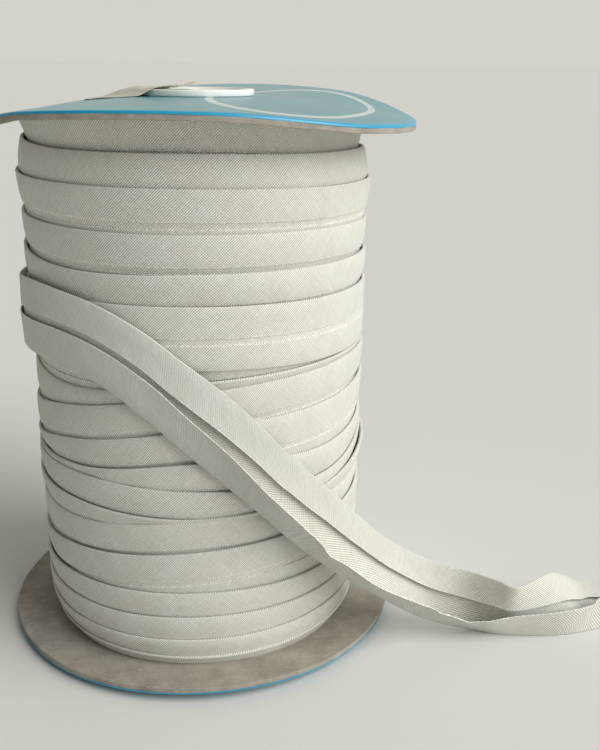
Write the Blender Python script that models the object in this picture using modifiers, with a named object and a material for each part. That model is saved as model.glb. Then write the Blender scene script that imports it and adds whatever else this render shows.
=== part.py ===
"""A spool of folded bias tape, in metres, +Z up.

The tape is wound between two board discs that are faced with printed paper. A plastic cap closes the
hub on each side, and the lower cap stands on the table. Its underside holds the origin. The front is -Y.
The wound tape is one solid whose ridges follow the turns. The loose end comes round its back and left
side, leaves it at the front right, passes over the lower disc, stands on its folded edge on the table
and lies back towards its cut end. Its lower flap opens where nothing holds it.
"""

import math
from collections import namedtuple

import bmesh
import bpy
from mathutils import Vector

# Driving sizes, in metres
MM = 0.001
GAP = 0.3 * MM
CAP_RADIUS = 17.5 * MM
UPPER_CAP_THICKNESS = 1.4 * MM
LOWER_CAP_THICKNESS = 1.0 * MM
CAP_EDGE = 0.3 * MM
CAP_RIM_WIDTH = 2.2 * MM
CAP_RECESS = 0.4 * MM
PAPER_THICKNESS = 0.3 * MM
BOARD_THICKNESS = 1.9 * MM
DISC_RADIUS = 62.5 * MM
# Inside this radius the caps hold the discs flat
HUB_CLAMP = 18.0 * MM
UPPER_HUB_LEVEL = 162.6 * MM
TAPE_THICKNESS = 1.2 * MM
FLAP_THICKNESS = 0.7 * MM
LABEL_THICKNESS = 0.4 * MM

# Heights of the stacked pieces, from the table up
LOWER_PAPER_Z = LOWER_CAP_THICKNESS + GAP
LOWER_BOARD_Z = LOWER_PAPER_Z + PAPER_THICKNESS + GAP
ROLL_FOOT_Z = LOWER_BOARD_Z + BOARD_THICKNESS + GAP
UPPER_PAPER_Z = UPPER_HUB_LEVEL + BOARD_THICKNESS + GAP
UPPER_CAP_Z = UPPER_PAPER_Z + PAPER_THICKNESS + GAP

# Facets
AROUND = 72
CAP_STEPS = 48
DISC_RINGS = (HUB_CLAMP / DISC_RADIUS, 0.5, 0.75, 1.0)
SHEET_STEP = 4.0 * MM
MERGE_DISTANCE = 0.01 * MM
SHARP_ANGLE = math.radians(35.0)

# Each station is an eighth of the way round, from the back by the left to the front and the right
STATIONS = 8
STATION_ANGLE = 2.0 * math.pi / STATIONS

Turn = namedtuple(
    "Turn", "name back back_left left front_left front front_right right back_right edge above"
)

# Height of each turn's upper fold, its radius at the fold and the radius just above it, in millimetres
TURNS = (
    Turn("a", 152.2, 152.8, 153.4, 152.4, 152.6, 151.7, 151.1, 151.5, 50.3, 49.0),
    Turn("b", 143.7, 144.2, 144.7, 144.1, 144.1, 143.1, 142.3, 143.0, 52.4, 51.7),
    Turn("c", 132.2, 132.9, 133.6, 132.5, 132.3, 131.7, 130.3, 131.2, 51.5, 50.8),
    Turn("d", 122.7, 123.4, 123.9, 121.4, 122.0, 121.8, 121.4, 122.1, 51.6, 50.7),
    Turn("e", 113.2, 113.3, 113.5, 113.4, 113.5, 112.8, 112.5, 112.9, 51.6, 50.9),
    Turn("last_lower_edge", 94.2, 93.7, 93.5, 94.6, 95.9, 94.8, 94.4, 94.3, 50.4, 51.3),
    Turn("f", 89.4, 90.2, 90.2, 87.7, 92.4, 93.9, 93.4, 91.0, 50.5, 50.1),
    Turn("g", 83.6, 79.4, 76.0, 82.0, 89.7, 92.4, 91.9, 88.6, 51.2, 50.4),
    Turn("h", 72.8, 67.6, 65.6, 71.9, 79.5, 81.7, 83.2, 79.4, 51.4, 50.8),
    Turn("i", 66.6, 64.0, 62.8, 63.9, 69.4, 67.9, 71.2, 70.8, 51.2, 50.4),
    Turn("j", 61.2, 60.6, 60.6, 61.7, 60.8, 59.3, 65.6, 64.4, 51.4, 50.8),
    Turn("k", 56.4, 54.2, 53.1, 53.1, 52.5, 55.4, 61.4, 59.8, 51.7, 51.0),
    Turn("l", 49.0, 47.0, 46.7, 47.1, 51.7, 51.3, 52.4, 51.0, 51.0, 50.7),
    Turn("m", 40.2, 35.4, 33.7, 37.5, 41.9, 44.7, 46.7, 44.0, 51.3, 50.5),
    Turn("n", 26.8, 26.0, 25.7, 27.2, 28.7, 28.4, 28.2, 27.5, 51.3, 50.5),
    Turn("o", 20.0, 19.4, 19.2, 19.5, 20.9, 20.9, 20.7, 20.4, 51.3, 50.7),
    Turn("p", 13.2, 12.4, 12.2, 12.4, 13.4, 13.9, 13.7, 13.5, 51.3, 50.7),
    Turn("q", 7.4, 7.0, 6.8, 7.1, 7.5, 7.6, 7.5, 7.5, 51.0, 50.6),
)
FOLD_RISE = 0.45 * MM
LEAST_ROW_STEP = 0.25 * MM
SHOULDER_RADIUS = 49.2 * MM
FOOT_RADIUS = 51.3 * MM
# The roll leans forwards by this much at its foot, and its sides are drawn in there by up to DRAW_IN
LEAN = 0.5 * MM
LEAN_AZIMUTH = math.radians(8.0)
DRAW_IN = 5.0 * MM
DRAWN_HEIGHT = 16.0 * MM

Around = namedtuple(
    "Around", "back back_left left front_left front front_right right back_right"
)

Disc = namedtuple("Disc", "warp shift")

# How far the rim of each disc stands above its hub, in millimetres, and how far it sits to the right
UPPER_DISC = Disc(Around(1.6, -4.3, -7.2, -2.7, -1.7, -5.6, -5.6, 0.95), 2.75 * MM)
LOWER_DISC = Disc(Around(0.1, -0.2, -0.4, 0.0, 1.35, 0.7, 0.7, 0.3), 0.0)
# The warp grows as this power of the way from the clamped hub to the rim
WARP_POWER = 1.5

Winding = namedtuple("Winding", "azimuth top crease opening")

# The loose end while it still lies on the roll: azimuth and opening of its lower flap in degrees,
# heights of its upper fold and its lower crease in millimetres
LAST_TURN = (
    Winding(-182.0, 113.6, 93.5, 10.0),
    Winding(-150.0, 113.4, 93.3, 10.0),
    Winding(-120.0, 113.2, 93.0, 10.0),
    Winding(-90.0, 113.4, 92.9, 10.0),
    Winding(-62.0, 115.8, 94.3, 10.0),
    Winding(-44.0, 115.3, 94.4, 10.0),
    Winding(-30.0, 112.9, 90.9, 10.0),
    Winding(-17.0, 107.4, 83.3, 10.0),
    Winding(-6.0, 99.8, 74.3, 12.0),
    Winding(6.0, 90.6, 64.0, 25.0),
    Winding(16.0, 81.3, 54.6, 42.0),
    Winding(24.0, 72.6, 46.4, 55.0),
)
# Middle of the loose end's sheet where it lies on the roll
HUG_RADIUS = 53.15 * MM
FINE_STEPS = 4
# Openings of the lower flap between which the valley behind it opens, and how deep it reaches
FLAP_SHUT = math.radians(15.0)
FLAP_FREE = math.radians(32.0)
VALLEY_SHUT = 0.54
VALLEY_DEEP = 0.93
VALLEY_RISE = 0.05 * MM
# Shares of the band, from the upper fold down, at which its front and its back have points
FRONT_SHARES = (0.0, 0.25, 0.48)
BACK_SHARES = (1.0, 0.75, 0.5, 0.25, 0.0)
# Width of the lower flap as a share of the band, and the share of it at which its outer face has a point
FLAP_SHARE = 0.46
FLAP_KNEE = 0.45

Free = namedtuple("Free", "name top_x top_y top_z crease_x crease_y crease_z opening bow")

# The loose end once it has left the roll: its upper fold and lower crease in millimetres, the opening
# of its lower flap in degrees, and how far the middle of the band bows forwards in millimetres
FREE_SECTIONS = (
    Free("off_roll", 29.0, -45.3, 64.3, 28.7, -47.9, 39.5, 63.0, 0.0),
    Free("falling", 35.0, -42.4, 57.7, 34.3, -47.2, 34.6, 67.0, 0.0),
    Free("over_board", 44.6, -38.1, 46.6, 43.6, -44.5, 26.3, 66.0, 0.3),
    Free("above_rim", 54.2, -33.6, 36.0, 53.4, -40.7, 18.3, 64.0, 0.4),
    Free("past_rim", 61.8, -30.1, 29.3, 60.9, -37.2, 11.7, 55.0, 0.5),
    Free("touching_down", 69.0, -28.0, 24.4, 68.9, -33.8, 5.6, 50.0, 0.5),
    Free("landing", 76.2, -28.2, 21.4, 76.9, -33.1, 2.4, 48.0, 0.6),
    Free("standing", 84.6, -31.2, 20.0, 85.6, -33.6, 0.65, 46.0, 0.6),
    Free("closing", 91.6, -37.6, 20.2, 92.2, -36.4, 0.65, 32.0, 0.3),
    Free("dip", 96.4, -41.6, 19.8, 97.6, -37.6, 0.65, 10.0, 0.3),
    Free("rising", 106.6, -36.0, 20.1, 107.2, -38.7, 0.65, 16.0, 1.6),
    Free("hump", 113.2, -30.0, 17.6, 113.4, -39.0, 0.65, 28.0, 3.0),
    Free("settling", 123.4, -22.8, 10.2, 119.6, -38.2, 0.65, 36.0, 3.4),
    Free("lying", 132.8, -21.2, 7.2, 128.4, -36.2, 0.65, 38.0, 3.0),
    Free("end", 142.0, -19.4, 5.6, 138.0, -34.0, 0.65, 38.0, 2.2),
)

Patch = namedtuple("Patch", "x_min x_max y_min y_max across along")

# The torn label on the upper hub, in millimetres from the axis
LABEL = Patch(-32.0, -1.5, -13.8, 13.0, 16, 10)
# It climbs to the cap from these distances outside the cap's edge, at its front and at its back
CLIMB_FRONT = 4.5 * MM
CLIMB_BACK = 9.5 * MM
CLIMB_INSIDE = 0.6 * MM
# Its torn end slants, and curls up at the back
END_SLANT = 6.0 * MM
END_CURL = 1.3 * MM
CURL_LENGTH = 9.0 * MM
# Its torn edges wander by these amounts, in waves of these angles over its width or depth
END_TEAR = 1.2 * MM
FRONT_TEAR = 0.5 * MM
RIGHT_WAVE = 9.0
RIGHT_PHASE = 0.6
LEFT_WAVE = 5.0
FRONT_WAVE = 7.0

# sRGB colours, roughness and metallic value of each material
Finish = namedtuple("Finish", "colour roughness metallic")
COTTON = Finish((0.83, 0.83, 0.77), 0.85, 0.0)
GREYBOARD = Finish((0.58, 0.56, 0.51), 0.9, 0.0)
COATED_PAPER = Finish((0.36, 0.68, 0.78), 0.3, 0.0)
PLASTIC = Finish((0.93, 0.94, 0.92), 0.25, 0.0)
TORN_PAPER = Finish((0.79, 0.77, 0.72), 0.7, 0.0)


def clear_scene():
    for obj in list(bpy.data.objects):
        bpy.data.objects.remove(obj, do_unlink=True)


def new_collection(name):
    made = bpy.data.collections.new(name)
    bpy.context.scene.collection.children.link(made)
    return made


def linear(channel):
    """One sRGB channel, made linear."""
    if channel <= 0.04045:
        return channel / 12.92
    return ((channel + 0.055) / 1.055) ** 2.4


def new_material(name, finish):
    material = bpy.data.materials.new(name)
    material.use_nodes = True
    shader = material.node_tree.nodes["Principled BSDF"]
    shader.inputs["Base Color"].default_value = [linear(c) for c in finish.colour] + [1.0]
    shader.inputs["Roughness"].default_value = finish.roughness
    shader.inputs["Metallic"].default_value = finish.metallic
    return material


def add_object(name, shape, material, collection):
    """Makes a mesh object of a bmesh and frees the bmesh."""
    bmesh.ops.recalc_face_normals(shape, faces=shape.faces)
    mesh = bpy.data.meshes.new(name)
    shape.to_mesh(mesh)
    shape.free()
    mesh.materials.append(material)
    mesh.shade_smooth()
    mesh.set_sharp_from_angle(angle=SHARP_ANGLE)
    obj = bpy.data.objects.new(name, mesh)
    collection.objects.link(obj)
    return obj


def polar(radius, azimuth, height):
    """A point at this azimuth, turned from the front towards the right."""
    return Vector((radius * math.sin(azimuth), -radius * math.cos(azimuth), height))


def cubic(before, start, end, after, share):
    """A smooth curve through start and end that also heeds the values before and after them."""
    a = 2.0 * start
    b = end - before
    c = 2.0 * before - 5.0 * start + 4.0 * end - after
    d = 3.0 * (start - end) + after - before
    return 0.5 * (a + b * share + c * share**2 + d * share**3)


def around(values, azimuth):
    """The value at an azimuth from minus to plus half a turn, on a smooth curve through the stations."""
    place = (azimuth + math.pi) / STATION_ANGLE
    first = math.floor(place)
    near = [values[(first + step) % STATIONS] for step in (-1, 0, 1, 2)]
    return cubic(*near, place - first)


def disc_rise(disc, x, y):
    """Rise of a warped disc above its hub: flat where the caps hold it, steeper to the rim."""
    x -= disc.shift
    share = max(0.0, (math.hypot(x, y) - HUB_CLAMP) / (DISC_RADIUS - HUB_CLAMP))
    return around(disc.warp, math.atan2(x, -y)) * MM * share**WARP_POWER


def loft_rings(rings, low_pole, high_pole):
    """A closed solid through rings of points, from the lowest to the highest, closed at two poles."""
    shape = bmesh.new()
    rows = [[shape.verts.new(point) for point in ring] for ring in rings]
    count = len(rows[0])
    for lower, upper in zip(rows, rows[1:]):
        for i in range(count):
            j = (i + 1) % count
            shape.faces.new((lower[i], lower[j], upper[j], upper[i]))
    for row, pole in ((rows[0], low_pole), (rows[-1], high_pole)):
        centre = shape.verts.new(pole)
        for i in range(count):
            shape.faces.new((row[i], row[(i + 1) % count], centre))
    return shape


def azimuths():
    return [-math.pi + 2.0 * math.pi * i / AROUND for i in range(AROUND)]


def lean(azimuth, height):
    """The roll leans a little to the front, and its sides are drawn in towards its foot."""
    facing = math.cos(azimuth - LEAN_AZIMUTH)
    forwards = LEAN * facing * (1.0 - height / UPPER_HUB_LEVEL)
    low = max(0.0, 1.0 - height / DRAWN_HEIGHT)
    return forwards - DRAW_IN * min(1.0, 1.0 - facing) * low**2


def rise_at(disc, radius, azimuth):
    """The disc's rise at a place on the roll."""
    spot = polar(radius, azimuth, 0.0)
    return disc_rise(disc, spot.x, spot.y)


def roll_column(azimuth):
    """The roll's outline at one azimuth, from the shoulder down: radius and height of each point."""
    top = UPPER_HUB_LEVEL - GAP + rise_at(UPPER_DISC, SHOULDER_RADIUS, azimuth)
    column = [(SHOULDER_RADIUS, top)]
    for turn in TURNS:
        fold = around(turn[1 : 1 + STATIONS], azimuth) * MM
        for radius, height in ((turn.above * MM, fold + FOLD_RISE), (turn.edge * MM, fold)):
            height = min(height, column[-1][1] - LEAST_ROW_STEP)
            column.append((radius + lean(azimuth, height), height))
    foot = ROLL_FOOT_Z + rise_at(LOWER_DISC, FOOT_RADIUS, azimuth)
    column.append((FOOT_RADIUS + lean(azimuth, foot), foot))
    return column


def make_roll(collection, material):
    """The wound tape as one solid, with a ridge for each turn's upper fold."""
    columns = [roll_column(azimuth) for azimuth in azimuths()]
    rings = []
    for row in reversed(range(len(columns[0]))):
        ring = [polar(c[row][0], a, c[row][1]) for a, c in zip(azimuths(), columns)]
        rings.append(ring)
    low_pole = Vector((0.0, 0.0, ROLL_FOOT_Z))
    high_pole = Vector((0.0, 0.0, UPPER_HUB_LEVEL - GAP))
    top = UPPER_HUB_LEVEL - GAP
    rings.append([polar(HUB_CLAMP, a, top + rise_at(UPPER_DISC, HUB_CLAMP, a)) for a in azimuths()])
    return add_object("tape_roll", loft_rings(rings, low_pole, high_pole), material, collection)


def make_disc(name, disc, level, thickness, collection, material):
    """A round sheet spun from a spoke, warped by its table, with its underside at the given level."""
    shape = bmesh.new()
    hub = shape.verts.new((0.0, 0.0, 0.0))
    spoke = [hub]
    for share in DISC_RINGS:
        spoke.append(shape.verts.new((0.0, -DISC_RADIUS * share, 0.0)))
    edges = [shape.edges.new(pair) for pair in zip(spoke, spoke[1:])]
    bmesh.ops.spin(
        shape,
        geom=spoke + edges,
        cent=(0.0, 0.0, 0.0),
        axis=(0.0, 0.0, 1.0),
        angle=2.0 * math.pi,
        steps=AROUND,
        use_merge=True,
    )
    bmesh.ops.remove_doubles(shape, verts=shape.verts, dist=MERGE_DISTANCE)
    for vert in shape.verts:
        vert.co.x += disc.shift
        vert.co.z = level + disc_rise(disc, vert.co.x, vert.co.y)
    sheet = add_object(name, shape, material, collection)
    thick = sheet.modifiers.new("thickness", "SOLIDIFY")
    thick.thickness = thickness
    face_up = sheet.data.polygons[0].normal.z > 0.0
    thick.offset = 1.0 if face_up else -1.0
    return sheet


def make_cap(name, level, thickness, recess, collection, material):
    """A hub cap turned from its profile, with a raised rim round a shallow recess on its upper face."""
    inner = CAP_RADIUS - CAP_RIM_WIDTH
    profile = (
        (0.0, thickness - recess),
        (inner - CAP_EDGE, thickness - recess),
        (inner, thickness),
        (CAP_RADIUS - CAP_EDGE, thickness),
        (CAP_RADIUS, thickness - CAP_EDGE),
        (CAP_RADIUS, CAP_EDGE),
        (CAP_RADIUS - CAP_EDGE, 0.0),
        (0.0, 0.0),
    )
    mesh = bpy.data.meshes.new(name)
    points = [(radius, 0.0, height) for radius, height in profile]
    mesh.from_pydata(points, [(i, i + 1) for i in range(len(points) - 1)], [])
    mesh.materials.append(material)
    cap = bpy.data.objects.new(name, mesh)
    cap.location.z = level
    collection.objects.link(cap)
    turned = cap.modifiers.new("turned", "SCREW")
    turned.steps = CAP_STEPS
    turned.render_steps = CAP_STEPS
    turned.use_merge_vertices = True
    turned.merge_threshold = MERGE_DISTANCE
    return cap


Section = namedtuple("Section", "top crease opening bow")


def winding_section(azimuth, top, crease, opening):
    """The loose end's section where it lies on the roll."""
    turned = math.radians(azimuth)
    high = polar(HUG_RADIUS, turned, top * MM)
    low = polar(HUG_RADIUS, turned, crease * MM)
    return Section(high, low, math.radians(opening), 0.0)


def free_section(row):
    top = Vector((row.top_x, row.top_y, row.top_z)) * MM
    crease = Vector((row.crease_x, row.crease_y, row.crease_z)) * MM
    return Section(top, crease, math.radians(row.opening), row.bow * MM)


def smooth_row(rows, place):
    """The values at a place along the rows, on a smooth curve through them."""
    first = min(int(place), len(rows) - 2)
    near = [rows[min(max(first + step, 0), len(rows) - 1)] for step in (-1, 0, 1, 2)]
    columns = zip(*near)
    return [cubic(*column, place - first) for column in columns]


def loose_sections():
    """Sections of the loose end, from the back of the roll to the free end."""
    sections = []
    for i in range((len(LAST_TURN) - 1) * FINE_STEPS + 1):
        sections.append(winding_section(*smooth_row(LAST_TURN, i / FINE_STEPS)))
    key_sections = [sections[-1 - FINE_STEPS], sections[-1]]
    key_sections += [free_section(row) for row in FREE_SECTIONS]
    for i in range(1, len(key_sections) - 1):
        length = (key_sections[i + 1].top - key_sections[i].top).length
        steps = max(1, round(length / SHEET_STEP))
        for step in range(1, steps + 1):
            sections.append(Section(*smooth_row(key_sections, i + step / steps)))
    return sections


def sheet_ring(section, along):
    """The outline of the folded tape at one section: the band, and the lower flap opening from the crease."""
    span = section.top - section.crease
    up = span.normalized()
    out = along.cross(up).normalized()
    half = TAPE_THICKNESS / 2.0

    def on_band(share, side):
        bowed = section.bow * math.sin(math.pi * share)
        return section.top - span * share + out * (bowed + side * half)

    flap = up * math.cos(section.opening) + out * math.sin(section.opening)
    inwards = up * math.sin(section.opening) - out * math.cos(section.opening)
    width = span.length * FLAP_SHARE
    tip = section.crease + flap * width
    # The valley behind the flap is filled while the flap is nearly closed
    open_share = min(1.0, max(0.0, (section.opening - FLAP_SHUT) / (FLAP_FREE - FLAP_SHUT)))
    shut = on_band(VALLEY_SHUT, 1.0)
    deep = on_band(VALLEY_DEEP, 1.0)
    ring = [on_band(share, 1.0) for share in FRONT_SHARES]
    ring.append(shut.lerp(deep, open_share) + out * VALLEY_RISE)
    ring.append(tip + inwards * FLAP_THICKNESS / 2.0)
    ring.append(tip - inwards * FLAP_THICKNESS / 2.0)
    knee = section.crease + flap * width * FLAP_KNEE
    ring.append(knee - inwards * FLAP_THICKNESS / 2.0)
    ring.append(section.crease + out * half)
    ring += [on_band(share, -1.0) for share in BACK_SHARES]
    for point in ring:
        point.z = max(point.z, 0.0)
    return ring


def make_loose_tape(collection, material):
    """The loose end as one closed sheet, lofted through its sections."""
    sections = loose_sections()
    shape = bmesh.new()
    rows = []
    for i, section in enumerate(sections):
        ahead = sections[min(i + 1, len(sections) - 1)]
        behind = sections[max(i - 1, 0)]
        along = (ahead.top + ahead.crease) - (behind.top + behind.crease)
        rows.append([shape.verts.new(point) for point in sheet_ring(section, along)])
    count = len(rows[0])
    for near, far in zip(rows, rows[1:]):
        for i in range(count):
            j = (i + 1) % count
            shape.faces.new((near[i], near[j], far[j], far[i]))
    for row in (rows[0], rows[-1]):
        shape.faces.new(row)
    return add_object("loose_tape", shape, material, collection)


def label_height(x, y, v):
    """The label lies on the paper, climbs to the cap, more gently at its back, and lies on the cap."""
    on_paper = UPPER_PAPER_Z + PAPER_THICKNESS + disc_rise(UPPER_DISC, x, y)
    on_cap = UPPER_CAP_Z + UPPER_CAP_THICKNESS
    outside = CLIMB_FRONT + (CLIMB_BACK - CLIMB_FRONT) * v
    climb = (CAP_RADIUS + outside - math.hypot(x, y)) / (outside - CLIMB_INSIDE)
    share = min(1.0, max(0.0, climb))
    eased = share * share * (3.0 - 2.0 * share)
    curl = v * max(0.0, 1.0 + (x - LABEL.x_max * MM) / CURL_LENGTH)
    return on_paper + (on_cap - on_paper) * eased + GAP + END_CURL * curl**2


def make_label(collection, material):
    """The torn paper label, a grid laid over the hub with uneven edges."""
    shape = bmesh.new()
    bmesh.ops.create_grid(shape, x_segments=LABEL.across, y_segments=LABEL.along, size=0.5)
    for vert in shape.verts:
        u = vert.co.x + 0.5
        v = vert.co.y + 0.5
        x = (LABEL.x_min + (LABEL.x_max - LABEL.x_min) * u) * MM
        y = (LABEL.y_min + (LABEL.y_max - LABEL.y_min) * v) * MM
        x += u * (END_SLANT * (v - 0.5) + END_TEAR * math.sin(RIGHT_WAVE * v + RIGHT_PHASE))
        x += END_TEAR * (1.0 - u) * math.sin(LEFT_WAVE * v)
        y += FRONT_TEAR * (1.0 - v) * math.sin(FRONT_WAVE * u)
        vert.co = Vector((x, y, label_height(x, y, v)))
    label = add_object("hub_label", shape, material, collection)
    thick = label.modifiers.new("thickness", "SOLIDIFY")
    thick.thickness = LABEL_THICKNESS
    thick.offset = 1.0 if label.data.polygons[0].normal.z > 0.0 else -1.0
    return label


def main():
    clear_scene()
    spool = new_collection("bias_tape_roll")
    cotton = new_material("cotton", COTTON)
    board = new_material("greyboard", GREYBOARD)
    paper = new_material("coated_paper", COATED_PAPER)
    plastic = new_material("white_plastic", PLASTIC)
    torn = new_material("torn_paper", TORN_PAPER)
    make_roll(spool, cotton)
    make_loose_tape(spool, cotton)
    make_disc("bottom_board", LOWER_DISC, LOWER_BOARD_Z, BOARD_THICKNESS, spool, board)
    make_disc("bottom_paper", LOWER_DISC, LOWER_PAPER_Z, PAPER_THICKNESS, spool, paper)
    make_disc("top_board", UPPER_DISC, UPPER_HUB_LEVEL, BOARD_THICKNESS, spool, board)
    make_disc("top_paper", UPPER_DISC, UPPER_PAPER_Z, PAPER_THICKNESS, spool, paper)
    make_cap("bottom_cap", 0.0, LOWER_CAP_THICKNESS, 0.0, spool, plastic)
    make_cap("top_cap", UPPER_CAP_Z, UPPER_CAP_THICKNESS, CAP_RECESS, spool, plastic)
    make_label(spool, torn)


main()
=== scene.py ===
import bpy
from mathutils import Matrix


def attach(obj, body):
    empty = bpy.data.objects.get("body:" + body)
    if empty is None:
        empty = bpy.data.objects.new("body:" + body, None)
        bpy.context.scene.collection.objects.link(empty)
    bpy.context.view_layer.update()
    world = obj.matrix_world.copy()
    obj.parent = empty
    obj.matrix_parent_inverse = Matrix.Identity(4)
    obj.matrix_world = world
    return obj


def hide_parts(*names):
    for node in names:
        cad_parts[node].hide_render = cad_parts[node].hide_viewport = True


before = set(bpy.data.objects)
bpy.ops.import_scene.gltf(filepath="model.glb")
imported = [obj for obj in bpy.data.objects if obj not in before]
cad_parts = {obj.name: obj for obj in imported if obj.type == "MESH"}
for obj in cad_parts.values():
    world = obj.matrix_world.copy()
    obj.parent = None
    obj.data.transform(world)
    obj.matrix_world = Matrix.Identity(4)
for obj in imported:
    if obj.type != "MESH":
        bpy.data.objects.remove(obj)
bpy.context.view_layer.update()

"""The spool of folded bias tape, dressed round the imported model.

Every length is in metres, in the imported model's own frame: the origin is the underside of the lower hub
cap, +Z is up along the spool's axis and the front is -Y. An azimuth is turned from the front to the right.
"""

import math
from collections import namedtuple

import bpy
import numpy as np
from mathutils import Matrix, Vector

MM = 0.001

# The spool's own sizes. Its pieces touch here, as glue and the hub hold them
CAP_RADIUS = 17.5 * MM
PAPER_THICKNESS = 0.3 * MM
BOARD_THICKNESS = 1.9 * MM
DISC_RADIUS = 62.5 * MM
HUB_CLAMP = 18.0 * MM
LOWER_CAP_TOP = 1.3 * MM
LOWER_BOARD_Z = LOWER_CAP_TOP + PAPER_THICKNESS
ROLL_FOOT_Z = LOWER_BOARD_Z + BOARD_THICKNESS
UPPER_HUB_LEVEL = 162.6 * MM
PAPER_TOP = UPPER_HUB_LEVEL + BOARD_THICKNESS + PAPER_THICKNESS
UPPER_CAP_TOP = 166.75 * MM

Around = namedtuple("Around", "back back_left left front_left front front_right right back_right")
Disc = namedtuple("Disc", "warp shift")
# How far each disc's rim stands above its hub, in millimetres, and how far the disc sits off to the right
UPPER_DISC = Disc(Around(1.6, -4.3, -7.2, -2.7, -1.7, -5.6, -5.6, 0.95), 2.75 * MM)
LOWER_DISC = Disc(Around(0.1, -0.2, -0.4, 0.0, 1.35, 0.7, 0.7, 0.3), 0.0)
WARP_POWER = 1.5
STATIONS = 8
STATION_ANGLE = 2.0 * math.pi / STATIONS

# The tape

FLAP = 8.6 * MM          # folded-over width of each side
CHANNEL = 1.9 * MM       # open strip between the two raw edges
PLY = 0.28 * MM          # one thickness of the cotton
FOLD = 0.9 * MM          # two plies pressed at a folded edge
TAPE_WIDTH = 20.0 * MM

# Heights in millimetres of the upper fold of each turn, where it passes the left, the front and the right,
# its radius there and the radius of the turn above just over it
Turn = namedtuple("Turn", "name left front_left front front_right right edge above")
LATER_TURNS = (
    Turn("top", 157.0, 158.5, 160.0, 157.0, 157.0, 50.3, 48.9),
    Turn("a", 153.4, 152.4, 152.6, 151.7, 151.1, 50.3, 49.0),
    Turn("b", 144.7, 144.1, 144.1, 143.1, 142.3, 52.4, 51.7),
    Turn("c", 133.6, 132.5, 132.3, 131.7, 130.3, 51.5, 50.8),
    Turn("d", 123.9, 121.4, 122.0, 121.8, 121.4, 51.6, 50.7),
    Turn("e", 113.5, 113.4, 113.5, 112.8, 112.5, 51.6, 50.9),
)
EARLIER_TURNS = (
    Turn("hidden", 110.0, 109.0, 108.0, 107.0, 106.5, 50.0, 49.6),
    Turn("under", 101.0, 100.5, 101.5, 102.5, 102.0, 50.3, 49.8),
    Turn("f", 90.2, 87.7, 92.4, 93.9, 93.4, 50.5, 50.1),
    Turn("g", 76.0, 82.0, 89.7, 92.4, 91.9, 51.2, 50.4),
    Turn("h", 65.6, 71.9, 79.5, 81.7, 83.2, 51.4, 50.8),
    Turn("i", 62.8, 63.9, 69.4, 67.9, 71.2, 51.2, 50.4),
    Turn("j", 60.6, 61.7, 60.8, 59.3, 65.6, 51.4, 50.8),
    Turn("k", 53.1, 53.1, 52.5, 55.4, 61.4, 51.7, 51.0),
    Turn("l", 46.7, 47.1, 51.7, 51.3, 52.4, 51.0, 50.7),
    Turn("m", 33.7, 37.5, 41.9, 44.7, 46.7, 51.3, 50.5),
    Turn("n", 25.7, 27.2, 28.7, 28.4, 28.2, 51.3, 50.5),
    Turn("o", 19.2, 19.5, 20.9, 20.9, 20.7, 51.3, 50.7),
    Turn("p", 12.2, 12.4, 13.4, 13.9, 13.7, 51.3, 50.7),
    Turn("q", 6.8, 7.1, 7.5, 7.6, 7.5, 51.0, 50.6),
    Turn("foot", 5.3, 5.2, 5.2, 5.2, 5.2, 50.6, 50.2),
)
# Heights in millimetres of the last turn's lower edge, from its left over its front to its right
LOWER_EDGE = (93.5, 94.6, 95.9, 94.8, 94.4)
# The roll leans forwards by this much at its foot, and its sides are drawn in there by up to DRAW_IN
LEAN = 0.5 * MM
LEAN_AZIMUTH = math.radians(8.0)
DRAW_IN = 5.0 * MM
DRAWN_HEIGHT = 16.0 * MM
# How far each turn's face is drawn in behind the fold of the turn that lies over it
TUCK = 0.5 * MM
# Where a turn stands off the others: place along the earlier turns, in eighths of a turn, its height in
# millimetres and its spread
STAND_OFFS = ((60.1, 1.3, 0.75), (20.0, 0.8, 0.7), (28.3, 0.5, 0.8))
# The earlier turns start this far on, hidden behind the later ones, in eighths of a turn
HIDDEN_START = 4.5
COLUMNS = 120
# How close under the upper board the topmost turn lies, and over which eighths of a turn it comes away
BOARD_CONTACT = 0.12 * MM
LEAVES_BOARD = (5.0, 9.0)
# The radius at which the cloth's length is measured off
WOUND_RADIUS = 51.3 * MM
# How far a turn's fold wanders in height and in radius, the least that shows of a turn, how far the last
# turn's face falls back to its lower edge, and how much the topmost turn's bulge is reversed
HEIGHT_WANDER = 0.10 * MM
RADIUS_WANDER = 0.06 * MM
LEAST_SPAN = 0.8 * MM
LAST_FALL = 0.3 * MM
TOPMOST_FLARE = 2.5
# How far a turn's face bulges, and that of the last turn
BULGE = 0.25 * MM
LAST_BULGE = 0.1 * MM
# How far the last turn climbs over the others, over which eighths of its turn, and its lower edge at the back
LAST_CLIMB = 1.95 * MM
CLIMBING = (4.2, 6.9)
LOWER_EDGE_BACK = 94.0
# What would come lower than this over the lower board's hub level is pressed up by a share of its depth,
# and inwards. It doesn't follow the board's own warp
FOOT_CLEAR = 0.05 * MM
FOOT_SQUEEZE = 0.98

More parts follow.
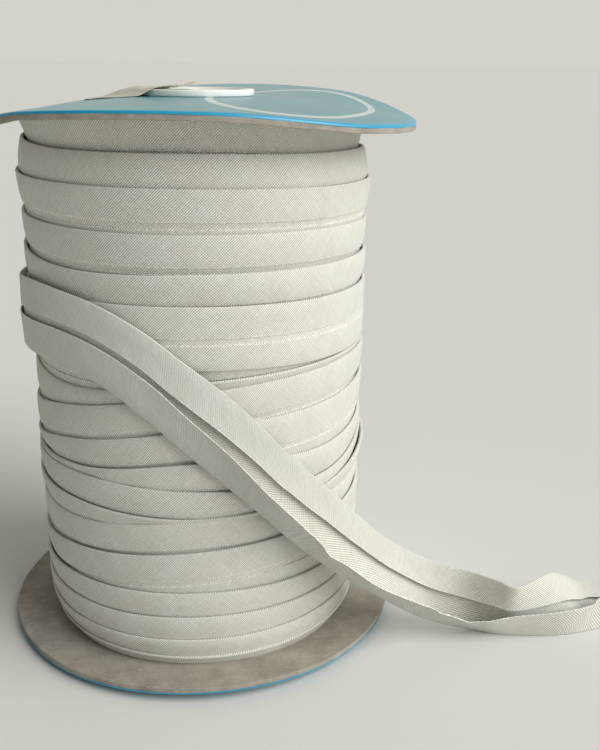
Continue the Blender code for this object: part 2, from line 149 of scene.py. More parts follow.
# The loose end while it lies on the roll: azimuth and opening of its lower flap in degrees, heights of its
# upper fold and its lower crease in millimetres
Winding = namedtuple("Winding", "azimuth top crease opening")
LAST_TURN = (
    Winding(-182.0, 113.6, 93.5, 0.0),
    Winding(-150.0, 113.4, 93.3, 1.5),
    Winding(-120.0, 113.2, 93.0, 3.0),
    Winding(-90.0, 113.4, 92.9, 3.0),
    Winding(-62.0, 115.8, 94.3, 3.0),
    Winding(-44.0, 115.3, 94.4, 3.0),
    Winding(-30.0, 112.9, 90.9, 3.0),
    Winding(-17.0, 107.4, 83.3, 5.0),
    Winding(-6.0, 99.8, 74.3, 12.0),
    Winding(6.0, 90.6, 64.0, 25.0),
    Winding(16.0, 81.3, 54.6, 49.0),
    Winding(24.0, 72.6, 46.4, 63.0),
)
# The radius at which it lies on the roll
HUG_RADIUS = 53.15 * MM
# Its lower crease starts to lift off the roll at this azimuth, in degrees, and lifts by this much in all
LIFT_START = -12.0
LIFT_OFF = 2.0 * MM
WINDING_STEPS = 8
SHEET_STEP = 1.6 * MM

# The loose end off the roll: upper fold and lower crease in millimetres, opening in degrees, bow of the band
Free = namedtuple("Free", "name top_x top_y top_z crease_x crease_y crease_z opening bow")
FREE_SECTIONS = (
    Free("off_roll", 29.0, -45.3, 64.3, 28.7, -47.9, 39.5, 69.5, 0.0),
    Free("falling", 35.0, -42.4, 57.7, 34.3, -47.2, 34.6, 76.0, 0.0),
    Free("over_board", 44.6, -38.1, 46.6, 43.6, -44.5, 26.3, 84.0, 0.3),
    Free("above_rim", 54.2, -33.6, 36.0, 53.4, -40.7, 18.3, 84.0, 0.4),
    Free("past_rim", 61.8, -30.1, 29.3, 60.9, -37.2, 11.7, 76.0, 0.5),
    Free("touching_down", 69.0, -28.0, 24.4, 68.9, -33.8, 5.6, 65.0, 0.5),
    Free("landing", 76.2, -28.2, 21.4, 76.9, -33.1, 2.4, 56.0, 0.6),
    Free("standing", 84.6, -31.2, 20.0, 85.6, -33.6, 0.3, 49.0, 0.6),
    Free("closing", 91.6, -37.6, 20.2, 92.2, -36.4, 0.3, 32.0, 0.3),
    Free("dip", 96.4, -41.6, 19.8, 97.6, -37.6, 0.3, 8.0, 0.3),
    Free("rising", 106.6, -36.0, 20.1, 107.2, -38.7, 0.3, 17.0, 1.6),
    Free("hump", 113.2, -30.0, 17.6, 113.4, -39.0, 0.3, 30.0, 3.0),
    Free("settling", 123.4, -22.8, 10.2, 119.6, -38.2, 0.3, 38.0, 3.4),
    Free("lying", 132.8, -21.2, 7.2, 128.4, -36.2, 0.3, 40.0, 3.0),
    Free("end", 142.0, -19.4, 5.6, 138.0, -34.0, 0.3, 40.0, 2.2),
)

# Curves through the tables


def cubic(before, start, end, after, share):
    """A smooth curve through start and end that also heeds the values before and after them."""
    a = 2.0 * start
    b = end - before
    c = 2.0 * before - 5.0 * start + 4.0 * end - after
    d = 3.0 * (start - end) + after - before
    return 0.5 * (a + b * share + c * share**2 + d * share**3)


def around(values, azimuth):
    """The value at an azimuth, on a smooth curve through the stations round the disc."""
    place = (azimuth + math.pi) / STATION_ANGLE
    first = math.floor(place)
    near = [values[(first + step) % STATIONS] for step in (-1, 0, 1, 2)]
    return cubic(*near, place - first)


def along(values, place):
    """The value at a place along a row, on a smooth curve through its values."""
    first = min(max(math.floor(place), 0), len(values) - 2)
    near = [values[min(max(first + step, 0), len(values) - 1)] for step in (-1, 0, 1, 2)]
    return cubic(*near, place - first)


def disc_rise(disc, x, y):
    """Rise of a warped disc above its hub: flat where the caps hold it, steeper to the rim."""
    x -= disc.shift
    share = max(0.0, (math.hypot(x, y) - HUB_CLAMP) / (DISC_RADIUS - HUB_CLAMP))
    return around(disc.warp, math.atan2(x, -y)) * MM * share**WARP_POWER


def polar(radius, azimuth, height):
    """A point at this azimuth, turned from the front towards the right."""
    return Vector((radius * math.sin(azimuth), -radius * math.cos(azimuth), height))


def smooth_step(low, high, value):
    share = min(1.0, max(0.0, (value - low) / (high - low)))
    return share * share * (3.0 - 2.0 * share)


def ripple(place, seed):
    """A gentle, unrepeating wander between about -1 and 1."""
    return (
        math.sin(place * 1.0 + seed * 2.1)
        + 0.6 * math.sin(place * 2.7 + seed * 5.3)
        + 0.4 * math.sin(place * 6.1 + seed * 1.7)
    ) / 1.6


# Meshes


def mesh_piece(name, points, faces, material, sharp=35.0):
    mesh = bpy.data.meshes.new(name)
    mesh.from_pydata([tuple(p) for p in points], [], faces)
    mesh.materials.append(material)
    mesh.shade_smooth()
    mesh.set_sharp_from_angle(angle=math.radians(sharp))
    piece = bpy.data.objects.new(name, mesh)
    bpy.context.scene.collection.objects.link(piece)
    return piece


def lofted(name, rows, material, closed=False, cloth=None, raw=None, sharp=35.0):
    """A sheet through rows of points. cloth holds each point's place along and across the cloth, for the
    weave, and raw how near it is to a raw edge. A closed row is a ring. Its cloth row has one place more."""
    count = len(rows[0])
    spans = count if closed else count - 1
    points = [point for row in rows for point in row]
    faces = []
    places = []
    for r in range(len(rows) - 1):
        for i in range(spans):
            j = (i + 1) % count
            faces.append((r * count + i, r * count + j, (r + 1) * count + j, (r + 1) * count + i))
            if cloth:
                places += [cloth[r][i], cloth[r][i + 1], cloth[r + 1][i + 1], cloth[r + 1][i]]
    if closed:
        for r in (0, len(rows) - 1):
            ring = [r * count + i for i in range(count)]
            faces.append(ring)
            if cloth:
                places += cloth[r][:count]
    piece = mesh_piece(name, points, faces, material, sharp)
    if cloth:
        layer = piece.data.uv_layers.new(name="cloth")
        layer.data.foreach_set("uv", np.array(places, np.float32).ravel())
    if raw:
        layer = piece.data.attributes.new("raw_edge", "FLOAT", "POINT")
        layer.data.foreach_set("value", np.array(raw, np.float32).ravel())
    return piece


# The share of a disc's radius over which its paper turns to the rim's deeper colour, and how steeply the
# wander of a cut rim grows towards it
RIM_ZONE = (0.978, 0.992)
RIM_POWER = 8


def spun(name, profile, material, disc=None, steps=240, wander=0.0, seed=0, sharp=35.0):
    """A piece turned from a profile of radius and height that starts and ends on the axis. It takes its
    disc's warp, and its rim wanders a little, as a cut one does."""
    centre_x = disc.shift if disc else 0.0
    points = []
    faces = []
    rings = []
    for radius, height in profile:
        if radius == 0.0:
            points.append((centre_x, 0.0, height))
            rings.append([len(points) - 1])
            continue
        ring = []
        for i in range(steps):
            azimuth = -math.pi + 2.0 * math.pi * i / steps
            rim = (radius / DISC_RADIUS) ** RIM_POWER
            point = polar(radius + wander * rim * ripple(azimuth * 9.0, seed), azimuth, height)
            point.z += 0.5 * wander * rim * ripple(azimuth * 23.0, seed + height / MM)
            if disc:
                point.x += disc.shift
                point.z += disc_rise(disc, point.x, point.y)
            ring.append(len(points))
            points.append(tuple(point))
        rings.append(ring)
    rim_share = [
        smooth_step(*RIM_ZONE, math.hypot(x - centre_x, y) / DISC_RADIUS) for x, y, z in points
    ]
    for inner, outer in zip(rings, rings[1:]):
        for i in range(steps):
            j = (i + 1) % steps
            if len(inner) == 1:
                faces.append((inner[0], outer[j], outer[i]))
            elif len(outer) == 1:
                faces.append((inner[i], inner[j], outer[0]))
            else:
                faces.append((inner[i], inner[j], outer[j], outer[i]))
    piece = mesh_piece(name, points, faces, material, sharp)
    layer = piece.data.attributes.new("rim", "FLOAT", "POINT")
    layer.data.foreach_set("value", np.array(rim_share, np.float32))
    return piece


# Materials


def linear(hex_colour):
    """An sRGB hex colour, made linear."""
    channels = [int(hex_colour[i : i + 2], 16) / 255.0 for i in (1, 3, 5)]
    return [c / 12.92 if c <= 0.04045 else ((c + 0.055) / 1.055) ** 2.4 for c in channels] + [1.0]


def add_node(tree, kind, inputs=None, **settings):
    """Adds a node. Each input follows the socket or holds the value that it is given."""
    made = tree.nodes.new("ShaderNode" + kind)
    for name, value in settings.items():
        setattr(made, name, value)
    for name, value in (inputs or {}).items():
        if isinstance(value, bpy.types.NodeSocket):
            tree.links.new(value, made.inputs[name])
        else:
            made.inputs[name].default_value = value
    return made


def new_material(name):
    material = bpy.data.materials.new(name)
    material.use_nodes = True
    tree = material.node_tree
    return material, tree, tree.nodes["Principled BSDF"]


THREAD_SPACING = 0.53 * MM
# The colour of the gaps is painted shade between the threads; the tops carry the cotton's own colour
THREAD_GAP_SHADE = "#adaca0"
THREAD_TOPS = "#fbfaf5"
# How deep the threads of each set lie: those that rise to the right stand out most
BOLD_THREADS = 1.0
FAINT_THREADS = 0.6


def woven_cotton():
    """Plain-woven cotton cut on the bias: its threads cross at 45 degrees to the tape, and fine fuzz
    gives it a soft sheen. Real threads lie about 0.3 mm apart, drawn at 0.53 mm so that they show."""
    material, tree, shader = new_material("woven_cotton")
    cloth = add_node(tree, "UVMap", uv_map="cloth")
    threads = add_node(
        tree,
        "Mapping",
        {
            "Vector": cloth.outputs["UV"],
            "Rotation": (0.0, 0.0, math.radians(45.0)),
            "Scale": (1.0 / THREAD_SPACING, 1.0 / THREAD_SPACING, 1.0),
        },
    )
    # The threads wander by a part of their spacing
    wobble = add_node(
        tree, "TexNoise", {"Vector": threads.outputs[0], "Scale": 0.16, "Detail": 2.0, "Roughness": 0.5}
    )
    shifted = add_node(
        tree,
        "VectorMath",
        {0: wobble.outputs["Color"], 1: (0.45, 0.45, 0.45), 2: threads.outputs[0]},
        operation="MULTIPLY_ADD",
    )
    axes = add_node(tree, "SeparateXYZ", {0: shifted.outputs[0]})
    # One cosine across each set of threads, and one of half its pace for over and under
    across = []
    crossing = []
    for axis, depth in (("X", FAINT_THREADS), ("Y", BOLD_THREADS)):
        turned = add_node(tree, "Math", {0: axes.outputs[axis], 1: 2.0 * math.pi}, operation="MULTIPLY")
        wave = add_node(tree, "Math", {0: turned.outputs[0]}, operation="COSINE")
        scaled = {0: wave.outputs[0], 1: depth / 2.0, 2: 0.5}
        across.append(add_node(tree, "Math", scaled, operation="MULTIPLY_ADD"))
        slow = add_node(tree, "Math", {0: axes.outputs[axis], 1: math.pi}, operation="MULTIPLY")
        crossing.append(add_node(tree, "Math", {0: slow.outputs[0]}, operation="COSINE"))
    over = add_node(
        tree, "Math", {0: crossing[0].outputs[0], 1: crossing[1].outputs[0]}, operation="MULTIPLY"
    )
    # The bold set lies over the faint one on most of each crossing
    over_share = add_node(tree, "Math", {0: over.outputs[0], 1: 0.3, 2: 0.7}, operation="MULTIPLY_ADD")
    height = add_node(
        tree,
        "Mix",
        {0: over_share.outputs[0], 2: across[0].outputs[0], 3: across[1].outputs[0]},
        data_type="FLOAT",
    )
    # Slubs: threads that are thicker or thinner for a few millimetres
    slubs = []
    for stretch in ((1.0, 0.07, 1.0), (0.07, 1.0, 1.0)):
        placed = add_node(tree, "Mapping", {"Vector": threads.outputs[0], "Scale": stretch})
        slubs.append(add_node(tree, "TexNoise", {"Vector": placed.outputs[0], "Scale": 1.0, "Detail": 1.0}))
    slub = add_node(
        tree, "Math", {0: slubs[0].outputs["Fac"], 1: slubs[1].outputs["Fac"]}, operation="MULTIPLY"
    )
    relief = add_node(
        tree, "Math", {0: slub.outputs[0], 1: 0.5, 2: height.outputs[0]}, operation="MULTIPLY_ADD"
    )
    # The gaps between threads are painted darker than the thread tops: painted shade in the hollows of the
    # weave
    depth = add_node(tree, "MapRange", {0: relief.outputs[0], 1: 0.15, 2: 1.05, 3: 0.0, 4: 1.0})
    shaded_weave = add_node(
        tree,
        "Mix",
        {0: depth.outputs[0], 6: linear(THREAD_GAP_SHADE), 7: linear(THREAD_TOPS)},
        data_type="RGBA",
    )
    # Slow cloudiness over the cloth
    cloud = add_node(tree, "TexNoise", {"Vector": cloth.outputs["UV"], "Scale": 110.0, "Detail": 4.0})
    toned = add_node(
        tree,
        "Mix",
        {0: cloud.outputs["Fac"], 6: linear("#f1f0eb"), 7: linear("#ffffff")},
        data_type="RGBA",
    )
    cloudy = add_node(
        tree,
        "Mix",
        {0: 1.0, 6: shaded_weave.outputs[2], 7: toned.outputs[2]},
        data_type="RGBA",
        blend_type="MULTIPLY",
    )
    # Cut thread ends along the raw edges catch the light
    raw = add_node(tree, "Attribute", attribute_name="raw_edge")
    ends = add_node(tree, "TexNoise", {"Vector": cloth.outputs["UV"], "Scale": 1700.0, "Detail": 0.0})
    lit_ends = add_node(
        tree, "MapRange", {0: ends.outputs["Fac"], 1: 0.44, 2: 0.6, 3: 0.0, 4: 1.0}
    )
    end_share = add_node(
        tree, "Math", {0: raw.outputs["Fac"], 1: lit_ends.outputs[0]}, operation="MULTIPLY"
    )
    base = add_node(
        tree,
        "Mix",
        {0: end_share.outputs[0], 6: cloudy.outputs[2], 7: linear("#f8f7f0")},
        data_type="RGBA",
    )
    tree.links.new(base.outputs[2], shader.inputs["Base Color"])
    bump = add_node(
        tree, "Bump", {"Strength": 0.9, "Distance": 0.14 * MM, "Height": relief.outputs[0]}
    )
    tree.links.new(bump.outputs[0], shader.inputs["Normal"])
    shader.inputs["Roughness"].default_value = 0.78
    shader.inputs["Specular IOR Level"].default_value = 0.35
    shader.inputs["Sheen Weight"].default_value = 0.25
    shader.inputs["Sheen Roughness"].default_value = 0.45
    return material


def raw_greyboard():
    """Pressed waste-paper board: grey-beige, with short fibres and specks, dull all over."""
    material, tree, shader = new_material("raw_greyboard")
    place = add_node(tree, "TexCoord")
    cloud = add_node(
        tree, "TexNoise", {"Vector": place.outputs["Object"], "Scale": 130.0, "Detail": 6.0}
    )
    tone = add_node(
        tree,
        "Mix",
        {0: cloud.outputs["Fac"], 6: linear("#716b62"), 7: linear("#bab4a8")},
        data_type="RGBA",
    )
    # Fibres about 2 mm long and a fifth as wide, all along X and bent by the distortion
    fibre_place = add_node(
        tree, "Mapping", {"Vector": place.outputs["Object"], "Scale": (500.0, 2600.0, 2600.0)}
    )
    fibres = add_node(
        tree, "TexNoise", {"Vector": fibre_place.outputs[0], "Scale": 1.0, "Detail": 2.0, "Distortion": 1.5}
    )
    fibre_share = add_node(
        tree, "MapRange", {0: fibres.outputs["Fac"], 1: 0.52, 2: 0.75, 3: 0.0, 4: 0.45}
    )
    fibrous = add_node(
        tree,
        "Mix",
        {0: fibre_share.outputs[0], 6: tone.outputs[2], 7: linear("#cbc6bb")},
        data_type="RGBA",
    )
    specks = add_node(
        tree, "TexVoronoi", {"Vector": place.outputs["Object"], "Scale": 700.0, "Randomness": 1.0}
    )
    speck_share = add_node(
        tree, "MapRange", {0: specks.outputs["Distance"], 1: 0.06, 2: 0.14, 3: 0.55, 4: 0.0}
    )
    flecked = add_node(
        tree,
        "Mix",
        {0: speck_share.outputs[0], 6: fibrous.outputs[2], 7: linear("#57514a")},
        data_type="RGBA",
    )
    tree.links.new(flecked.outputs[2], shader.inputs["Base Color"])
    bump = add_node(
        tree, "Bump", {"Strength": 0.7, "Distance": 0.12 * MM, "Height": fibres.outputs["Fac"]}
    )
    tree.links.new(bump.outputs[0], shader.inputs["Normal"])
    shader.inputs["Roughness"].default_value = 0.9
    shader.inputs["Specular IOR Level"].default_value = 0.25
    return material


# The print's oval line: its centre, its half axes, its turn, and how far the line reaches to either side
# as a share of the half axes
OVAL_CENTRE = (28.5 * MM, -8.0 * MM, 0.0)
OVAL_SIZE = (46.0 * MM, 22.3 * MM, 1.0)
OVAL_TURN = math.radians(74.7)
OVAL_BAND = 0.05


def coated_paper():
    """Clay-coated paper printed in one light blue, with a pale oval line round nothing: glossy, slightly
    waved where the glue holds it to the board, rubbed, and deeper in colour where it is drawn over the
    rim."""
    material, tree, shader = new_material("coated_paper")
    place = add_node(tree, "TexCoord")
    in_oval = add_node(
        tree,
        "Mapping",
        {
            "Vector": place.outputs["Object"],
            "Location": OVAL_CENTRE,
            "Rotation": (0.0, 0.0, OVAL_TURN),
            "Scale": OVAL_SIZE,
        },
        vector_type="TEXTURE",
    )
    flat = add_node(tree, "VectorMath", {0: in_oval.outputs[0], 1: (1.0, 1.0, 0.0)}, operation="MULTIPLY")
    radius = add_node(tree, "VectorMath", {0: flat.outputs[0]}, operation="LENGTH")
    off_line = add_node(tree, "Math", {0: radius.outputs["Value"], 1: 1.0}, operation="SUBTRACT")
    off_line = add_node(tree, "Math", {0: off_line.outputs[0]}, operation="ABSOLUTE")
    line = add_node(
        tree, "MapRange", {0: off_line.outputs[0], 1: OVAL_BAND * 0.8, 2: OVAL_BAND, 3: 0.7, 4: 0.0}
    )
    cloud = add_node(
        tree, "TexNoise", {"Vector": place.outputs["Object"], "Scale": 60.0, "Detail": 5.0}
    )
    ink = add_node(
        tree,
        "Mix",
        {0: cloud.outputs["Fac"], 6: linear("#41858f"), 7: linear("#5c9da5")},
        data_type="RGBA",
    )
    printed = add_node(
        tree,
        "Mix",
        {0: line.outputs[0], 6: ink.outputs[2], 7: linear("#dfe6e6")},
        data_type="RGBA",
    )
    # Short scuffs where the print is rubbed off, all one way
    scuff_place = add_node(
        tree,
        "Mapping",
        {"Vector": place.outputs["Object"], "Rotation": (0.0, 0.0, 0.5), "Scale": (160.0, 900.0, 160.0)},
    )
    scuffs = add_node(tree, "TexNoise", {"Vector": scuff_place.outputs[0], "Scale": 1.0, "Detail": 3.0})
    rubbed = add_node(tree, "MapRange", {0: scuffs.outputs["Fac"], 1: 0.68, 2: 0.76, 3: 0.0, 4: 0.5})
    worn = add_node(
        tree,
        "Mix",
        {0: rubbed.outputs[0], 6: printed.outputs[2], 7: linear("#cfdcdc")},
        data_type="RGBA",
    )
    rim = add_node(tree, "Attribute", attribute_name="rim")
    edged = add_node(
        tree,
        "Mix",
        {0: rim.outputs["Fac"], 6: worn.outputs[2], 7: linear("#1f9ac0")},
        data_type="RGBA",
    )
    tree.links.new(edged.outputs[2], shader.inputs["Base Color"])
    waves = add_node(
        tree, "TexNoise", {"Vector": place.outputs["Object"], "Scale": 220.0, "Detail": 2.0}
    )
    bump = add_node(
        tree, "Bump", {"Strength": 0.3, "Distance": 0.05 * MM, "Height": waves.outputs["Fac"]}
    )
    tree.links.new(bump.outputs[0], shader.inputs["Normal"])
    shader.inputs["Roughness"].default_value = 0.34
    shader.inputs["IOR"].default_value = 1.5
    shader.inputs["Coat Weight"].default_value = 0.25
    shader.inputs["Coat Roughness"].default_value = 0.2
    return material


def moulded_plastic():
    """Injection-moulded polystyrene: white, glossy, with the faint unevenness of a cheap mould."""
    material, tree, shader = new_material("moulded_plastic")
    place = add_node(tree, "TexCoord")
    cloud = add_node(
        tree, "TexNoise", {"Vector": place.outputs["Object"], "Scale": 180.0, "Detail": 3.0}
    )
    tone = add_node(
        tree,
        "Mix",
        {0: cloud.outputs["Fac"], 6: linear("#e6e9e3"), 7: linear("#f2f4f0")},
        data_type="RGBA",
    )
    tree.links.new(tone.outputs[2], shader.inputs["Base Color"])
    bump = add_node(
        tree, "Bump", {"Strength": 0.15, "Distance": 0.04 * MM, "Height": cloud.outputs["Fac"]}
    )
    tree.links.new(bump.outputs[0], shader.inputs["Normal"])
    shader.inputs["Roughness"].default_value = 0.22
    shader.inputs["Subsurface Weight"].default_value = 0.15
    shader.inputs["Subsurface Radius"].default_value = (0.002, 0.002, 0.002)
    return material


def torn_paper():
    """Uncoated label paper, torn through: warm grey, cloudy, with a fine fibrous bump."""
    material, tree, shader = new_material("torn_paper")
    place = add_node(tree, "TexCoord")
    cloud = add_node(
        tree, "TexNoise", {"Vector": place.outputs["Object"], "Scale": 260.0, "Detail": 5.0}
    )
    tone = add_node(
        tree,
        "Mix",
        {0: cloud.outputs["Fac"], 6: linear("#bdb8ab"), 7: linear("#d9d5ca")},
        data_type="RGBA",
    )
    tree.links.new(tone.outputs[2], shader.inputs["Base Color"])
    fibres = add_node(
        tree, "TexNoise", {"Vector": place.outputs["Object"], "Scale": 2400.0, "Detail": 2.0}
    )
    bump = add_node(
        tree, "Bump", {"Strength": 0.3, "Distance": 0.05 * MM, "Height": fibres.outputs["Fac"]}
    )
    tree.links.new(bump.outputs[0], shader.inputs["Normal"])
    shader.inputs["Roughness"].default_value = 0.75
    return material


# The wound tape

# The tape's section: how far below its upper fold each point lies, how deep under its face, and whether
# it is at a raw edge. The upper flap comes first, then the channel, the lower flap and the lower fold.
Point = namedtuple("Point", "below depth raw")
NOSE = FOLD / 2.0
RAW_BAND = 0.35 * MM
LOWER_RAW = FLAP + CHANNEL


def tape_profile(width):
    upper = [
        Point(NOSE * 1.3, FOLD * 1.15, 0.0),
        Point(NOSE * 0.25, FOLD * 0.9, 0.0),
        Point(0.0, FOLD * 0.5, 0.0),
        Point(NOSE * 0.25, FOLD * 0.15, 0.0),
        Point(NOSE, 0.0, 0.0),
        Point(FLAP * 0.35, 0.0, 0.0),
        Point(FLAP * 0.65, 0.0, 0.0),
        Point(FLAP - RAW_BAND, 0.0, 0.0),
        Point(FLAP, 0.03 * MM, 1.0),
        Point(FLAP + 0.03 * MM, PLY * 1.1, 0.4),
        Point(FLAP + CHANNEL * 0.5, PLY * 1.3, 0.0),
        Point(LOWER_RAW - 0.03 * MM, PLY * 1.1, 0.4),
        Point(LOWER_RAW, 0.03 * MM, 1.0),
        Point(LOWER_RAW + RAW_BAND, 0.0, 0.0),
    ]
    flap_left = width - LOWER_RAW
    lower = [
        Point(LOWER_RAW + flap_left * 0.5, 0.0, 0.0),
        Point(width - NOSE, 0.0, 0.0),
        Point(width - NOSE * 0.25, FOLD * 0.15, 0.0),
        Point(width, FOLD * 0.5, 0.0),
        Point(width - NOSE * 0.25, FOLD * 0.9, 0.0),
    ]
    return upper + lower


def helix_row(turns, field):
    """One field of the turns along the helix, eight values to a turn from the left of the first turn. The
    back of each turn runs over to the left of the next."""
    values = []
    for turn, after in zip(turns, turns[1:] + turns[-1:]):
        if field == "height":
            start, end = turn.right, after.left if after is not turn else turn.left
            values += [turn.left, turn.front_left, turn.front, turn.front_right, turn.right]
        else:
            start, end = getattr(turn, field), getattr(after, field)
            values += [start] * 5
        values += [start + (end - start) * share for share in (0.22, 0.5, 0.78)]
    return values


def lean(azimuth, height):
    """The roll leans a little to the front, and its sides are drawn in towards its foot."""
    facing = math.cos(azimuth - LEAN_AZIMUTH)
    forwards = LEAN * facing * (1.0 - height / UPPER_HUB_LEVEL)
    low = max(0.0, 1.0 - height / DRAWN_HEIGHT)
    return forwards - DRAW_IN * min(1.0, 1.0 - facing) * low**2


def wound_rows(turns, stop_short, last):
    """Rows of the wound tape along its helix, with each point's place on the cloth."""
    heights = helix_row(turns, "height")
    edges = helix_row(turns, "edge")
    aboves = helix_row(turns, "above")
    whole = (len(turns) - (0 if last else 1)) * STATIONS - stop_short
    start = 0.0 if last else HIDDEN_START
    seed = 1.0 if last else 2.0
    steps = round((whole - start) * COLUMNS / STATIONS)
    rows, cloth, raw = [], [], []
    for i in range(steps + 1):
        place = start + i / COLUMNS * STATIONS
        azimuth = math.radians(-90.0 + 45.0 * place)
        top = along(heights, place) * MM + HEIGHT_WANDER * ripple(place * 0.9, seed)
        edge = along(edges, place) * MM + RADIUS_WANDER * ripple(place * 1.3, seed + 3.0)
        if not last:
            for where, height, spread in STAND_OFFS:
                edge += height * MM * math.exp(-(((place - where) / spread) ** 2))
        topmost = 1.0 - smooth_step(*LEAVES_BOARD, place) if last else 0.0
        if topmost:
            # The topmost turn is pushed up against the board, which turns its fold outwards
            spot = polar(edge, azimuth, 0.0)
            board_face = UPPER_HUB_LEVEL + disc_rise(UPPER_DISC, spot.x, spot.y) - BOARD_CONTACT
            top += (board_face - top) * topmost
        width = TAPE_WIDTH
        climb = 0.0
        if place + STATIONS < len(heights):
            span = max(LEAST_SPAN, top - along(heights, place + STATIONS) * MM)
            tucked = along(aboves, place + STATIONS) * MM
            bulge = BULGE * (1.0 - TOPMOST_FLARE * topmost)
            outermost = False
        else:
            # The last turn lies on the others with its whole width
            in_turn = place % STATIONS
            lower = along(LOWER_EDGE, in_turn) if in_turn <= 4 else LOWER_EDGE_BACK
            width = top - lower * MM if last else TAPE_WIDTH
            span = width
            tucked = edge - LAST_FALL
            bulge = LAST_BULGE
            outermost = True
            climb = LAST_CLIMB * smooth_step(*CLIMBING, in_turn) if last else 0.0
        row, on_cloth, at_raw = [], [], []
        for point in tape_profile(width):
            share = point.below / span
            face = edge + (tucked - edge) * min(share, 1.0)
            face += bulge * math.sin(math.pi * min(share, 1.0))
            if not outermost:
                face -= TUCK * min(share, 1.0) ** 6
            face -= 0.1 * max(0.0, point.below - span)
            height = top - point.below
            radius = face - point.depth + climb + lean(azimuth, height)
            under_foot = max(0.0, ROLL_FOOT_Z + FOOT_CLEAR - height)
            height += under_foot * FOOT_SQUEEZE
            radius -= under_foot
            row.append(polar(radius, azimuth, height))
            on_cloth.append((place * STATION_ANGLE * WOUND_RADIUS, point.below))
            at_raw.append(point.raw)
        rows.append(row)
        cloth.append(on_cloth)
        raw.append(at_raw)
    return rows, cloth, raw


# The later turns stop this far short of a whole turn, in eighths, under the start of the loose end
STOP_SHORT = 1.1


def make_wound_tape(material):
    later = wound_rows(LATER_TURNS, STOP_SHORT, True)
    earlier = wound_rows(EARLIER_TURNS, 0.0, False)
    return [
        lofted("wound_tape", later[0], material, cloth=later[1], raw=later[2]),
        lofted("wound_tape_under", earlier[0], material, cloth=earlier[1], raw=earlier[2]),
    ]


# The loose end

Section = namedtuple("Section", "top crease opening bow")


def smooth_row(rows, place):
    return [along(column, place) for column in zip(*rows)]


def winding_section(azimuth, top, crease, opening):
    turned = math.radians(azimuth)
    high = polar(HUG_RADIUS, turned, top * MM)
    lifting = LIFT_OFF * max(0.0, (azimuth - LIFT_START) / (LAST_TURN[-1].azimuth - LIFT_START)) ** 2
    low = polar(HUG_RADIUS + lifting, turned, crease * MM)
    return Section(high, low, math.radians(opening), 0.0)


def free_section(row):
    top = Vector((row.top_x, row.top_y, row.top_z)) * MM
    crease = Vector((row.crease_x, row.crease_y, row.crease_z)) * MM
    return Section(top, crease, math.radians(row.opening), row.bow * MM)


def loose_sections():
    """Sections of the loose end, from the back of the roll to the cut end."""
    sections = []
    for i in range((len(LAST_TURN) - 1) * WINDING_STEPS + 1):
        sections.append(winding_section(*smooth_row(LAST_TURN, i / WINDING_STEPS)))
    keys = [sections[-1 - WINDING_STEPS], sections[-1]]
    keys += [free_section(row) for row in FREE_SECTIONS]
    for i in range(1, len(keys) - 1):
        steps = max(1, round((keys[i + 1].top - keys[i].top).length / SHEET_STEP))
        for step in range(1, steps + 1):
            sections.append(Section(*smooth_row(keys, i + step / steps)))
    return sections


# Between these distances to the right the end comes to lie down and its sections fan out
FAN_OUT = (95.0 * MM, 70.0 * MM)
# No point of the cloth comes lower over the table than this
TABLE_CLEAR = 0.02 * MM
# Where along the weave, in metres, the loose end starts, so that its threads don't repeat the roll's
CLOTH_START = 6.0
# The upper flap lifts by this share of the lower one's opening, and by this much at the most
UPPER_OPENING_SHARE = 0.35
UPPER_OPENING = math.radians(6.0)


def folded_centre(width, slant, opening):
    """The middle line of the folded cloth in one section, from the upper raw edge to the lower one: how
    far below the upper fold and how far out. A section that cuts the tape at a slant shows wider flaps."""
    bend = (FOLD - PLY) / 2.0
    upper_flap = FLAP * slant
    lifted = math.tan(min(UPPER_OPENING, opening * UPPER_OPENING_SHARE))
    line = []
    for share in (1.0, 1.0 - RAW_BAND / FLAP, 0.7, 0.35):
        below = upper_flap * share
        line.append((below, bend + below * lifted * share))
    line.append((bend, bend))
    for turn in (45.0, 90.0, 135.0):
        a = math.radians(turn)
        line.append((bend - bend * math.sin(a), bend * math.cos(a)))
    for share in (0.0, 0.2, 0.4, 0.5, 0.6, 0.8, 1.0):
        line.append((bend + (width - 2.0 * bend) * share, -bend))
    sweep = math.pi - opening
    for share in (0.25, 0.5, 0.75, 1.0):
        a = sweep * share
        line.append((width - bend + bend * math.sin(a), -bend * math.cos(a)))
    foot = line[-1]
    flap = (TAPE_WIDTH - LOWER_RAW) * slant
    for share in (0.35, 0.7, 1.0 - RAW_BAND / FLAP, 1.0):
        line.append(
            (foot[0] - flap * share * math.cos(opening), foot[1] + flap * share * math.sin(opening))
        )
    return line


